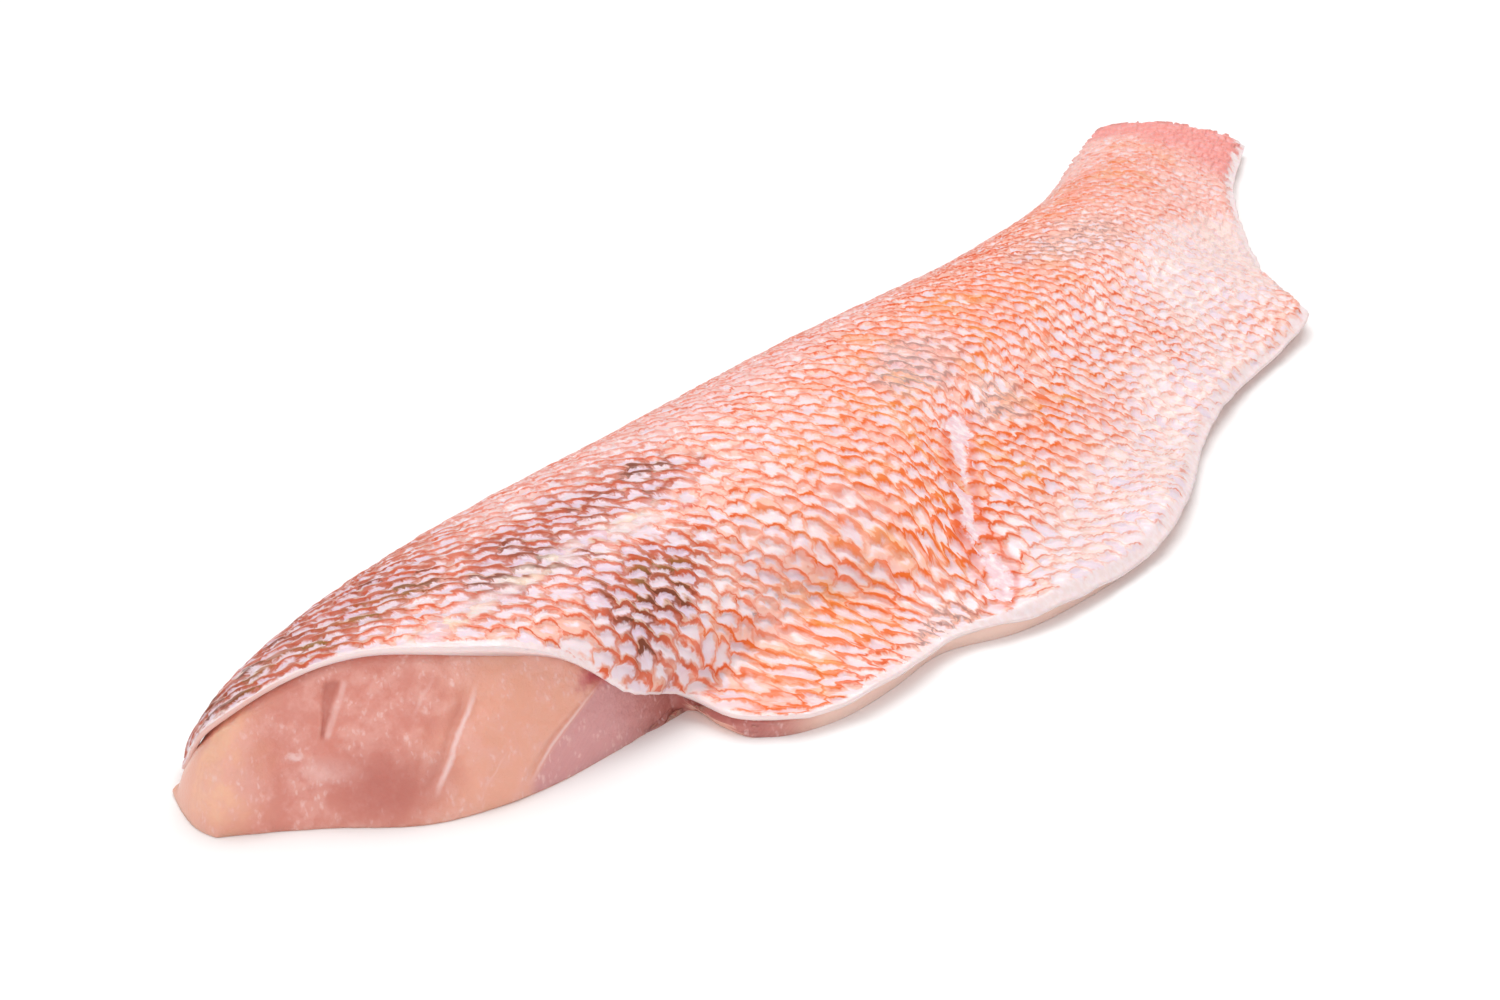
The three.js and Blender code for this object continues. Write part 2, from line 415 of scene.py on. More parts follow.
# %% Read the fine sheet as a grid
def vertex_array(mesh):
    """The vertices' places in mm, one row each."""
    flat = np.empty(3 * len(mesh.vertices))
    mesh.vertices.foreach_get("co", flat)
    return flat.reshape(-1, 3) / MM


def vertex_places(mesh):
    """The place (s, t) of each vertex, read from the UV map."""
    corner = np.empty(len(mesh.loops), int)
    mesh.loops.foreach_get("vertex_index", corner)
    flat = np.empty(2 * len(mesh.loops))
    mesh.uv_layers["place"].uv.foreach_get("vector", flat)
    places = np.empty((len(mesh.vertices), 2))
    places[corner] = flat.reshape(-1, 2)
    return places


def smoothstep(value, low, high):
    """Goes smoothly from 0 to 1 as value goes from low to high, for whole arrays."""
    share = np.clip((value - low) / (high - low), 0, 1)
    return share * share * (3 - 2 * share)


def walked(points, axis):
    """Millimetres walked over the surface from the first row (0) or the first column (1)."""
    stride = np.linalg.norm(np.diff(points, axis=axis), axis=-1)
    before = ((1, 0), (0, 0)) if axis == 0 else ((0, 0), (1, 0))
    return np.pad(np.cumsum(stride, axis=axis), before)


places = vertex_places(skin.data)
s, t = places.T
fine = (STEPS_ALONG * 2**FINER, STEPS_ACROSS * 2**FINER)
steps = np.rint(places * fine).astype(int)
grid = np.lexsort((steps[:, 1], steps[:, 0])).reshape(fine[0] + 1, fine[1] + 1)
points = vertex_array(skin.data)[grid]
from_cut = walked(points, 0)
from_back = walked(points, 1)
widest = round(float(from_back[:, -1].max()))
print("skin from edge to edge, at its widest:", widest, "mm")

# %% [markdown]
# The fold by the belly flap gathers the skin, so the pockets on its head side are narrower.
# The fold's middle is a curve across the fish, and the distance to it is needed twice: here
# for the pockets, and later for the bare strip in the fold.

# %% The fold's middle
FOLD_KNOTS_Y = (-36, -31, -27, -22, -17, -11, -4)
FOLD_KNOTS_X = (-31, -27.6, -25, -21.8, -14, -5.6, 3)
FOLD_SLANT = 0.68                          # distance square to the fold for each mm of x
FOLD_STARTS_Y = (-38, -30)
FOLD_ENDS_Y = (-14, -4)


def past_fold(points):
    """Millimetres past the fold, below 0 on its head side."""
    return (points[..., 0] - np.interp(points[..., 1], FOLD_KNOTS_Y, FOLD_KNOTS_X)) * FOLD_SLANT


def fold_strength(points):
    """1 along the fold, 0 off its ends."""
    y = points[..., 1]
    return smoothstep(y, *FOLD_STARTS_Y) * (1 - smoothstep(y, *FOLD_ENDS_Y))


print("points near the fold:", int(np.sum(np.abs(past_fold(points)) < 1)))

# %% [markdown]
# A pocket's place along the fish is counted from a table of sizes, and its place across is
# the length over the skin from the lateral line, counted in pockets too. Both families of
# rows follow from these two by their angle. On the flap the pockets are taller.

# %% Lattice coordinates for each point
ROW_ANGLE = math.radians(58)
POCKET_KNOTS_X = (-105, -17, 33, 115)      # places along the fish
POCKET_SIZES = (3.9, 3.4, 2.9, 2.2)        # side of a pocket there
ROW_GAP = 0.72                             # gap between rows for each mm of a pocket's side
LINE_KNOTS_X = (-117, -96, -71, -56, -48, -10, 43, 114)
LINE_KNOTS_Y = (17, 13, 9, 5, 4, 3, 5, 13)    # the lateral line, where the lattice starts
GATHER = 1.6                               # pockets gathered in front of the fold
GATHER_REACH = 13                          # mm
FLAP_STARTS_Y = (6, 14)                    # towards the belly
FLAP_ENDS_X = (-40, -24)
FLAP_STRETCH = 0.35                        # how much taller the pockets are on the flap
TABLE_END_X = 125                          # the table of sizes runs past both ends


def lattice_places(points):
    """Lattice coordinates of a grid of points in mm, rows from head to tail."""
    x, y = points[..., 0], points[..., 1]
    table_x = np.linspace(-TABLE_END_X, TABLE_END_X, 501)
    side = np.interp(table_x, POCKET_KNOTS_X, POCKET_SIZES)
    counted = np.cumsum(1 / side) * (table_x[1] - table_x[0])
    along = np.interp(x, table_x, counted)
    along += GATHER * fold_strength(points) * smoothstep(past_fold(points), -GATHER_REACH, 0)
    stride = np.hypot(*np.moveaxis(np.diff(points[..., 1:], axis=1), -1, 0))
    on_flap = smoothstep(-y, *FLAP_STARTS_Y) * (1 - smoothstep(x, *FLAP_ENDS_X))
    stride *= 1 - FLAP_STRETCH * on_flap[:, 1:]
    across = np.pad(np.cumsum(stride, axis=1), ((0, 0), (1, 0)))
    past_line = np.interp(x, LINE_KNOTS_X, LINE_KNOTS_Y) - y
    at_line = [np.interp(0, past, done) for past, done in zip(past_line, across)]
    across = (across - np.array(at_line)[:, None]) / np.interp(x, table_x, side)
    first = (along / math.cos(ROW_ANGLE) + across / math.sin(ROW_ANGLE)) / 2
    second = (along / math.cos(ROW_ANGLE) - across / math.sin(ROW_ANGLE)) / 2
    return np.stack([first, second / ROW_GAP, 0 * first], axis=-1)


lattice = lattice_places(points)
print("pockets along the fish:", np.round(np.ptp(lattice[:, fine[1] // 2, :2], axis=0), 1))

# %% [markdown]
# A mesh can keep numbers of its own for each vertex, as attributes. Materials and Geometry
# Nodes can both read them by name.

# %% Keep them on the mesh
def store(mesh, name, kind, values):
    """Keeps values, one for each vertex, as an attribute of the mesh."""
    attribute = mesh.attributes.new(name, kind, "POINT")
    key = "vector" if kind == "FLOAT_VECTOR" else "value"
    attribute.data.foreach_set(key, np.ascontiguousarray(values, dtype=np.float32).ravel())


def store_grid(mesh, name, values):
    """Keeps a grid of vectors as an attribute of the mesh."""
    listed = np.empty((len(mesh.vertices), 3))
    listed[grid] = values
    store(mesh, name, "FLOAT_VECTOR", listed)


store_grid(skin.data, "lattice", lattice)
print("attributes:", [a.name for a in skin.data.attributes if not a.name.startswith(".")])

# %% [markdown]
# Some of the skin is bare. At the head cut the knife has slanted through the white layer
# under the pigment, which leaves a white margin, widest over the middle of the loin. Along
# the belly runs a bare, ruffled band, and a smooth strip lies in the fold. Each point gets
# its distance in mm to these, below 0 inside them, and to the lateral line.

# %% Distances to the bare places
CUT_MARGIN_T = (0, 0.22, 0.34, 0.46, 0.58, 0.66, 1)
CUT_MARGIN = (0.1, 0.1, 0.7, 1.7, 1.5, 0.3, 0.2)
BELLY_BAND_X = (-66, -60, -50, -42, -36, -28, -10, 10, 30, 60, 110)
BELLY_BAND = (0.3, 0.9, 1.3, 0.9, 1.6, 2.2, 1.6, 0.9, 0.8, 0.6, 0.5)
FOLD_STRIP_Y = (-36, -33, -29, -24, -19, -13, -9, -6)
FOLD_STRIP = (0.1, 0.7, 1.2, 0.6, 0.9, 1.5, 1.3, 0.2)      # half its width
FAR_OFF = 8                                # mm; no strip off the fold's ends

to_belly = from_back[:, -1:] - from_back
cut_margin = np.interp(t[grid], CUT_MARGIN_T, CUT_MARGIN)
belly_band = np.interp(points[..., 0], BELLY_BAND_X, BELLY_BAND)
past_margin = np.minimum(from_cut - cut_margin, to_belly - belly_band)
past_strip = np.abs(past_fold(points)) - np.interp(points[..., 1], FOLD_STRIP_Y, FOLD_STRIP)
past_strip += FAR_OFF * (1 - fold_strength(points))
off_line = points[..., 1] - np.interp(points[..., 0], LINE_KNOTS_X, LINE_KNOTS_Y)
store_grid(skin.data, "bare", np.stack([past_margin, past_strip, off_line], axis=-1))
bare_share = float(np.mean(np.minimum(past_margin, past_strip) < 0))
print("bare share of the skin:", round(bare_share, 3))

# %% [markdown]
# The pattern itself is a function that adds nodes, so that the relief and the colour can
# share it. Noise sways the lattice first. A border between two rows is a chain of arches,
# the absolute value of a cosine, and the nearest whole numbers then tell the row and the
# pocket. What is left over is the place within the pocket: up from -0.5 to 0.5 between its
# borders, and aside between its neighbours in the row. White noise gives each pocket
# numbers of its own, and a stretched noise the hairs of its frayed lip.

# %% The pattern as nodes
ARCH = 0.36                                # height of an arch, in rows
ARCH_PEAK = 0.18                           # place of its peak, in pockets past the middle
ARCH_MEAN = 2 / math.pi
SIDE_SLANT = 0.15                          # how far the side borders lean, in pockets
SWAY = 1.8                                 # pockets that slow noise moves the net
SHIVER = 0.6                               # pockets that quick noise moves it


def scale_pockets(board, spot):
    """The net of pockets at a lattice place: a dictionary of wires."""
    sway = board.noise(spot, 0.45, 2.0, output="Color") - 0.5
    shiver = board.noise(spot, 2.2, 2.0, output="Color") - 0.5
    first, second, _ = board.parts(spot + sway * SWAY + shiver * SHIVER)
    arch = ((first - ARCH_PEAK) * math.pi).cosine().size() - ARCH_MEAN
    height = second - arch * ARCH
    row = height.rounded()
    up = height - row
    leaning = first - up * SIDE_SLANT
    column = leaning.rounded()
    settings = {"noise_dimensions": "2D"}
    chance = board.node("ShaderNodeTexWhiteNoise", settings, {"Vector": board.vector(column, row)})
    hairs = board.noise(board.vector(first * 6.0, second * 1.3), 1.0, 2.0, 0.6)
    net = {"up": up, "aside": leaning - column, "hairs": hairs}
    net["chances"] = board.parts(board.wire(chance, "Color"))
    return net


print("an arch rises by", ARCH, "of a row")

# %% [markdown]
# ## Edges and thickness
# Behind the flap the skin's belly edge droops over the flesh, so little flesh shows there.
# The skin's corner at the nape lies close to the flesh. Both are made by moving points of
# the sheet before it is thick.

# %% Droop the edge and tuck the corner
EDGE_DROOP = 1.2                           # mm
DROOP_REACH = 2.2                          # mm in from the edge
DROOP_STARTS_X = (-40, -25)
NAPE_TUCK = (1.9, -1.0, 0)                 # mm; the corner at the nape is tucked in
NAPE_LENGTH = 6                            # mm of the corner that is tucked, along the fish
NAPE_WIDTH = 0.12                          # the same across it, as a share of the skin

droop = smoothstep(to_belly, DROOP_REACH, 0) * smoothstep(points[..., 0], *DROOP_STARTS_X)
nape = (1 - smoothstep(from_cut, 0, NAPE_LENGTH)) * (1 - smoothstep(t[grid], 0, NAPE_WIDTH))
moved = np.empty((len(skin.data.vertices), 3))
moved[grid] = points - (droop * EDGE_DROOP)[..., None] * (0, 0, 1) + nape[..., None] * NAPE_TUCK
skin.data.vertices.foreach_set("co", (moved * MM).ravel())
print("the belly edge droops by", round(float((droop * EDGE_DROOP).max()), 2), "mm")

# %% [markdown]
# At the head cut the skin shows its thickness: a white layer of up to 2 mm. Towards the
# tail it thins, and along the belly it is a bare edge. The Solidify modifier makes the
# inner face, and a vertex group tells it how thick each place is.

# %% Give the skin its thickness
HEAD_KNOTS_T = (0, 0.25, 0.4, 0.52, 0.6, 0.68, 1)
HEAD_THICKNESS = (0.7, 0.6, 1.1, 2.0, 1.7, 0.5, 0.6)   # mm, along the head cut
BODY_THICKNESS = 1.2
EDGE_THICKNESS = 0.6
HEAD_ENDS = (0.03, 0.25)                   # shares of the length
EDGE_STARTS = 0.93                         # share of the way from back to belly

thickness = np.interp(t, HEAD_KNOTS_T, HEAD_THICKNESS)
thickness += (BODY_THICKNESS - thickness) * smoothstep(s, *HEAD_ENDS)
thickness += (EDGE_THICKNESS - thickness) * smoothstep(t, EDGE_STARTS, 1)
THICKEST = float(thickness.max())
group = skin.vertex_groups.new(name="thickness")
for index, share in enumerate(thickness / THICKEST):
    group.add([index], float(share), "REPLACE")
outer_count = len(skin.data.vertices)
apply_modifier(
    skin, "Thickness", "SOLIDIFY", thickness=THICKEST * MM, offset=-1, use_even_offset=False,
    vertex_group="thickness",
)
skin.vertex_groups.clear()
is_outer = np.arange(len(skin.data.vertices)) < outer_count
store(skin.data, "outer", "FLOAT", is_outer)
print("skin thickness: up to", round(THICKEST, 2), "mm")

# %% [markdown]
# The inner face lies on the flesh and is never seen, so it is thinned out to a few thousand
# faces. The same helper thins out the flesh's hidden top later.

# %% Thin out the hidden face
INNER_SHARE = 0.05                         # of the inner face's corners that are kept


def thin_out(piece, wanted, ratio):
    """Merges corners of the faces that are wanted, down to this share of them."""
    piece.data.polygons.foreach_set("select", wanted)
    pick(piece)
    bpy.ops.object.mode_set(mode="EDIT")
    bpy.ops.mesh.select_mode(type="FACE")
    bpy.ops.mesh.decimate(ratio=ratio)
    bpy.ops.mesh.select_all(action="DESELECT")
    bpy.ops.object.mode_set(mode="OBJECT")
    piece.data.calc_loop_triangles()
    print(piece.name, "has", len(piece.data.loop_triangles), "triangles")


inner_faces = [not any(is_outer[v] for v in face.vertices) for face in skin.data.polygons]
thin_out(skin, inner_faces, INNER_SHARE)

# %% [markdown]
# ## Zones of the skin
# The net and its colours change over the fish. Towards the head and the back the lips are
# brown and olive over lilac pockets, the middle of the side is orange, the belly is nearly
# white, and the tail is salmon. These regions are soft patches, each with a place and a
# reach in mm, and noise makes their borders ragged. In the net zone each pocket has its
# whole outline, and in the blurred zone the skin is creased.

# %% Patches of colour
ZONE_PATCHES = {                           # x, y, reach along, reach across, in mm
    "brown": ((-100, 31, 42, 20), (-67, 13, 30, 12), (-67, -1, 17, 8), (-50, 9, 10, 7)),
    "dark": (
        (-49, 9, 9, 6), (-61, 12, 10, 5), (-75, 12, 10, 5),
        (-69, -2, 10, 4), (-86, 21, 12, 5), (-106, 30, 12, 9),
    ),
    "olive": ((-101, 21, 20, 13), (-61, 1, 12, 6)),
    "grey": ((1, -1, 14, 7), (3, -13, 8, 5), (-40, -27, 8, 3), (55, 1, 17, 9)),
    "orange": (
        (-28, -14, 34, 18), (-58, -16, 22, 10), (4, -21, 30, 10),
        (84, 10, 26, 9), (10, 0, 50, 12),
    ),
    "pale": ((-4, -38, 40, 11), (28, -32, 46, 17), (68, -16, 34, 15)),
    "net": ((-52, -25, 24, 13), (-22, -22, 9, 12)),
    "blurred": ((-49, -9, 10, 5), (-35, -12, 8, 6), (-36, -24, 7, 3), (-70, 9, 7, 3)),
}
TAIL_X = (50, 90)
TAIL_END_X = (99, 107)
ZONE_WANDER = 16                           # mm that noise moves the borders
PATCH_CORE = 0.35                          # share of the reach where a patch is whole


def patches(board, place, spots):
    """1 in the middle of each patch, gone at its reach."""
    cover = None
    for x, y, reach_x, reach_y in spots:
        away = (place - (x, y, 0)) * (1 / reach_x, 1 / reach_y, 0)
        patch = 1 - board.step(away.length(), PATCH_CORE, 1.0)
        cover = patch if cover is None else cover.most(patch)
    return cover


def skin_zones(board, place):
    """The share of each zone at a place in mm: a dictionary of wires."""
    sway = board.noise(place, 0.12, 3.0, 0.6, output="Color") - 0.5
    where = place + sway * ZONE_WANDER
    zones = {name: patches(board, where, spots) for name, spots in ZONE_PATCHES.items()}
    x = board.parts(where)[0]
    zones["tail"] = board.step(x, *TAIL_X)
    zones["tail end"] = board.step(x, *TAIL_END_X)
    return zones


print("patches:", {name: len(spots) for name, spots in ZONE_PATCHES.items()})

# %% [markdown]
# ## Relief of the skin
# Each pocket is a shallow bowl, and the net stands round it. The lip over a pocket's rear
# side is the highest part, so the skin rises slowly through a pocket and drops at the next
# lip, like the tiles of a roof. Where the skin is bare there are no pockets, and chance
# numbers let the border of a bare place follow the pockets.

# %% Shape of a pocket
POCKET_DEPTH = 0.45                        # mm
RAGGED = 2.2                               # mm that a bare place's border wanders


def netted_share(board, bare, place, net):
    """1 where the skin has pockets and 0 where it is bare."""
    past_margin, past_strip, _ = board.parts(bare)
    ragged = (board.noise(place, 0.9, 3.0) - 0.5) * RAGGED
    one, two, _ = net["chances"]
    on_net = board.step(past_margin + ragged + (one - 0.5) * 0.9, 0.0, 0.9)
    fringe = (board.noise(place, 0.8, 4.0, 0.65) - 0.5) * 2.6 + (two - 0.5) * 2.2
    return on_net * board.step(past_strip + ragged * 0.6 + fringe, 0.0, 0.7)


def lip_reach(net, zones):
    """How far the lip hangs into a pocket, in rows."""
    thick = 0.18 + zones["brown"] * 0.25 + zones["orange"] * 0.12 - zones["pale"] * 0.08
    taper = 1 - net["aside"] * net["aside"] * 2.2
    return thick * taper * (0.35 + net["hairs"] * 1.3)


def pocket_height(board, net, zones):
    """Height in mm over the bottom of a pocket."""
    from_top = 0.5 - net["up"]
    from_side = 0.5 - net["aside"].size()
    lip = 1 - board.step(from_top / lip_reach(net, zones), 0.7, 1.3)
    slope = board.step(net["up"], 0.25, -0.5)
    side = 0.55 - board.step(from_side, 0.02, 0.16) * 0.55
    return POCKET_DEPTH * (lip.most(slope).most(side) - 0.5)


print("pockets are", POCKET_DEPTH, "mm deep")

# %% [markdown]
# Geometry Nodes move the outer face along its normals by that height, with slow wrinkles
# all over and sharper creases where the skin is bare or blurred. The modifier is applied,
# so the relief is real geometry.

# %% Move the outer face
WRINKLE = 0.5                              # mm


def new_shaping(name):
    """An empty Geometry Nodes group and its board."""
    group = bpy.data.node_groups.new(name, "GeometryNodeTree")
    group.interface.new_socket("Geometry", in_out="INPUT", socket_type="NodeSocketGeometry")
    group.interface.new_socket("Geometry", in_out="OUTPUT", socket_type="NodeSocketGeometry")
    return group, Board(group)


def named(board, name, kind="FLOAT_VECTOR"):
    """An attribute of the mesh, in Geometry Nodes."""
    node = board.node("GeometryNodeInputNamedAttribute", {"data_type": kind}, {"Name": name})
    return board.wire(node)


def move_outwards(board, height):
    """Moves each point along its normal by a height in mm."""
    normal = board.wire(board.node("GeometryNodeInputNormal"))
    move = board.node("GeometryNodeSetPosition", {}, {"Offset": normal * (height * MM)})
    source = board.node("NodeGroupInput")
    result = board.node("NodeGroupOutput")
    board.tree.links.new(source.outputs[0], move.inputs[0])
    board.tree.links.new(move.outputs[0], result.inputs[0])


relief, board = new_shaping("pocket relief")
place = board.wire(board.node("GeometryNodeInputPosition")) * (1 / MM)
net = scale_pockets(board, named(board, "lattice"))
netted = netted_share(board, named(board, "bare"), place, net)
wrinkles = (board.noise(place, 0.35, 3.0) - 0.5) * WRINKLE
zones = skin_zones(board, place)
creases = board.noise(place * (1.0, 0.45, 1.0), 0.9, 3.0) - 0.5
creased = creases * (zones["blurred"] + (1 - netted) * 0.6)
height = pocket_height(board, net, zones) * netted + wrinkles + creased
move_outwards(board, height * named(board, "outer", "FLOAT"))
apply_modifier(skin, "Relief", "NODES", node_group=relief)
highest = float(vertex_array(skin.data)[:, 2].max())
print("relief added, highest point", round(highest, 2), "mm")

# %% [markdown]
# ## The skin's finish
# A pocket's floor is a pale leaf, lilac or rose. Round it the skin is salmon, and its lip
# carries the pigment: orange on the side, brown and olive on the back. All of these are
# masks made from the place within the pocket. Each pocket has chance numbers of its own,
# so that neighbours differ in tone. The finish is laid on as a painter would, and each cell
# below adds a layer to `colour`.

# %% Read the pattern in a material
def new_finish(name):
    """A material with its board and its shader."""
    finish = bpy.data.materials.new(name)
    finish.use_nodes = True
    board = Board(finish.node_tree)
    return finish, board, finish.node_tree.nodes["Principled BSDF"]


def attribute(board, name, output="Vector"):
    """An attribute of the mesh, in a material."""
    return board.wire(board.node("ShaderNodeAttribute", {"attribute_name": name}), output)


skin_finish, board, shader = new_finish("wet fish skin")
place = board.wire(board.node("ShaderNodeTexCoord"), "Object") * (1 / MM)
along_fish = board.parts(place)[0]
spot = attribute(board, "lattice")
bare = attribute(board, "bare")
_, past_strip, off_line = board.parts(bare)
net = scale_pockets(board, spot)
up, aside, hairs = net["up"], net["aside"], net["hairs"]
one, two, three = net["chances"]
netted = netted_share(board, bare, place, net)
zones = skin_zones(board, place)
brown, orange, pale, tail = (zones[name] for name in ("brown", "orange", "pale", "tail"))
patchy = board.noise(spot, 0.7)
blotch = board.noise(spot, 0.3)
print("nodes of the pattern:", len(board.tree.nodes))

# %% [markdown]
# The first layer is the skin between the pockets. It is salmon, with honey-coloured spots
# where the side is orange, rose on the back, dusky under the brown, and nearly white on the
# belly.

# %% Skin between the pockets
SALMON = paint(253, 192, 174)
TAIL_SALMON = paint(255, 202, 192)
HONEY = paint(252, 184, 126)
BACK_ROSE = paint(247, 205, 200)
DUSKY = paint(196, 112, 94)
BLUSH = paint(255, 228, 222)
BACK_STARTS = (5, 13)                      # mm off the lateral line

around = board.mix(orange * 0.6, SALMON, TAIL_SALMON)
around = board.mix(tail, around, TAIL_SALMON)
around = board.mix(board.step(blotch, 0.42, 0.66) * orange * 0.6, around, HONEY)
back = board.step(off_line, *BACK_STARTS) * (1 - brown)
around = board.mix(back, around, BACK_ROSE)
around = board.mix((brown * (0.6 + blotch * 0.8)).least(1.0), around, DUSKY)
around = board.mix(pale, around, BLUSH)
print("nodes:", len(board.tree.nodes))

# %% [markdown]
# A floor is a leaf: the distance from the pocket's middle, measured longer along the row
# than across it. Hairs fray its upper border, and in some pockets, by chance, it is almost
# filled with the skin's colour. Among the brown some pockets get a cream painted highlight
# on their lower border, beside the lip of the pocket below, where that lip catches the light.

# %% Floors of the pockets
LILAC = paint(232, 208, 224)
WHITE_ROSE = paint(252, 232, 234)
ROSE = paint(252, 210, 204)
CREAM = paint(246, 226, 200)
LEAF_NARROW = 2.2                          # how much narrower than the pocket's middle
LEAF_DROP = 0.06                           # rows that the leaf lies below the middle

leaf_height = 0.34 + pale * 0.12 - brown * 0.03
leaf = board.vector(aside * LEAF_NARROW, (up + LEAF_DROP) / leaf_height).length()
frayed = (hairs - 0.5) * board.step(up, -0.1, 0.2) * 0.9
pocket_floor = board.mix((one * 0.7 + brown * 0.4).least(1.0), WHITE_ROSE, LILAC)
pocket_floor = board.mix(orange * 0.35 + tail * 0.4, pocket_floor, ROSE)
likely_full = two + orange * 0.12 + tail * 0.1 - brown * 0.4 - zones["net"] * 0.25
filled = board.step(likely_full, 0.55, 1.1) * 0.7
off_leaf = board.step(leaf + frayed + filled, 0.75, 1.25)
colour = board.mix(1 - off_leaf, around, pocket_floor)
# Painted highlight: a cream line on the lower border, beside the lip that catches the light.
lip_highlight = (1 - board.step(up + 0.5, 0.04, 0.24)) * brown * two
colour = board.mix(lip_highlight * 0.7, colour, CREAM)
print("nodes:", len(board.tree.nodes))

# %% [markdown]
# The pigment has its own colour for each zone, from orange and coral to brown, olive and
# grey, and its own strength: it is weak on the belly, the tail and the back.

# %% Colour and strength of the pigment
ORANGE = paint(240, 104, 16)
AMBER = paint(242, 142, 50)
CORAL = paint(230, 88, 36)
RUST = paint(190, 72, 28)
BROWN = paint(126, 54, 20)
OLIVE = paint(154, 100, 36)
GREY = paint(164, 146, 146)
LEAST_STRENGTH = 0.08

pigment = board.mix((orange * 0.9 + patchy * 0.6).least(1.0), CORAL, ORANGE)
pigment = board.mix(board.step(blotch, 0.45, 0.65) * orange * three, pigment, AMBER)
pigment = board.mix(brown * 0.8, pigment, RUST)
dark = brown * (three * 0.7 + blotch * 1.6 - 0.9) + zones["dark"] * 0.42
dark = board.step(dark, 0.25, 0.9)
pigment = board.mix(dark, pigment, board.mix(zones["olive"], BROWN, OLIVE))
pigment = board.mix(zones["grey"] * 0.8, pigment, GREY)
strength = 0.26 + zones["net"] * 0.2 + orange * 0.1 + patchy * 0.9 + one * 0.3
strength = strength - pale * 0.45 - tail * 0.4 - zones["blurred"] * 0.4 - back * 0.25
strength = strength.most(LEAST_STRENGTH)
print("nodes:", len(board.tree.nodes))

# %% [markdown]
# The pigment lies on the hanging lip, as a soft wash below it, and as thin lines at the
# pocket's sides and its lower border. On the tail the lips are short separate strokes.

# %% Lips and lines
whole = zones["net"] * 0.45 + 0.5          # how much of a pocket's outline shows
side_line = (1 - board.step(0.5 - aside.size(), 0.02, 0.09)) * whole
low_line = (1 - board.step(0.5 + up, 0.02, 0.1)) * whole
below_border = 0.5 - up
reach = lip_reach(net, zones)
wash = 1 - board.step(below_border, reach * 0.8, reach + 0.4)
wash = wash * (0.08 + orange * 0.45 + brown * 0.2)
colour = board.mix(wash * patchy * 1.3, colour, board.mix(brown, CORAL, RUST))
lip = 1 - board.step(below_border / reach, 0.5, 1.1)
lip = lip * (1 - board.step((aside - 0.1).size(), 0.12, 0.4) * tail * 0.7)
line = lip.most(side_line).most(low_line) * strength
colour = board.mix((line * (1 + dark * 0.4)).least(1.0), colour, pigment)
print("nodes:", len(board.tree.nodes))

# %% [markdown]
# Some places have no pattern of pockets: pale shreds on the lateral line near the head, the
# red end of the tail, and the bare skin of the fold's strip and the edges. A coral border
# runs along the strip. The skin's side, where it was cut, is white.

# %% Bare places and the cut side
TAIL_END = paint(246, 146, 140)
BARE = paint(240, 196, 202)
BARE_EDGE = paint(248, 222, 220)
CUT_WHITE = paint(248, 224, 222)
CUT_ROSE = paint(236, 190, 180)
RIDGE_ENDS_X = (-60, -38)
NAPE_ENDS_X = (-112, -102)

on_ridge = 1 - board.step(off_line.size(), 0.6, 2.8)
on_ridge = on_ridge * (1 - board.step(along_fish, *RIDGE_ENDS_X))
on_ridge = on_ridge * board.step(patchy, 0.36, 0.56)
colour = board.mix(on_ridge * 0.75, colour, board.mix(two, CREAM, LILAC))
colour = board.mix(zones["tail end"] * 0.7, colour, TAIL_END)
by_strip = 1 - board.step((past_strip - 0.9).size(), 0.3, 1.6)
colour = board.mix(by_strip * patchy * 0.9, colour, CORAL)
wrinkled = board.step(board.noise(place * (1.3, 0.6, 1.0), 1.2, 4.0), 0.35, 0.7)
bare_colour = board.mix(board.step(past_strip, 1.0, 3.0), BARE, BARE_EDGE)
bare_colour = board.mix(wrinkled, bare_colour, WHITE_ROSE)
colour = board.mix(netted, bare_colour, colour)
outer = board.step(attribute(board, "outer", "Fac"), 0.8, 0.98)
side_colour = board.mix(board.step(along_fish, *NAPE_ENDS_X), CUT_ROSE, CUT_WHITE)
colour = board.mix(outer, side_colour, colour)
print("nodes:", len(board.tree.nodes))

# %% [markdown]
# The skin is wet, so it has a thin glossy coat, and a little light goes through it.

# %% Shine of the skin
board.feed(shader.inputs["Base Color"], colour)
shader.inputs["Roughness"].default_value = 0.36
shader.inputs["Coat Weight"].default_value = 0.25
shader.inputs["Coat Roughness"].default_value = 0.18
shader.inputs["Subsurface Weight"].default_value = 0.12
shader.inputs["Subsurface Scale"].default_value = 0.002
skin.data.materials.clear()
skin.data.materials.append(skin_finish)
print("finish:", skin_finish.name)

# %% [markdown]
# ## The flesh
# The flesh is one thick body under the skin. It shows at the head cut, as a rim under the
# belly flap, and from below. Its copy is paired into quads, and its sharp rims get a
# crease, so that the Subdivision Surface modifier rounds the body and keeps them.

# %% Copy the flesh and round it
SHARP_RIM = math.radians(38)
RIM_CREASE = 0.75
FLESH_FINER = 2

flesh = joined_copy("flesh", "fillet_flesh")
pick(flesh)
bpy.ops.object.mode_set(mode="EDIT")
bpy.ops.mesh.select_all(action="SELECT")
bpy.ops.mesh.tris_convert_to_quads(
    face_threshold=math.pi, shape_threshold=math.pi, topology_influence=1.0
)
bpy.ops.mesh.select_mode(type="EDGE")
bpy.ops.mesh.select_all(action="DESELECT")
bpy.ops.mesh.edges_select_sharp(sharpness=SHARP_RIM)
bpy.ops.transform.edge_crease(value=RIM_CREASE)
bpy.ops.mesh.select_all(action="DESELECT")
bpy.ops.object.mode_set(mode="OBJECT")
apply_modifier(flesh, "Round", "SUBSURF", levels=FLESH_FINER, render_levels=FLESH_FINER)
print("flesh:", len(flesh.data.polygons), "faces")

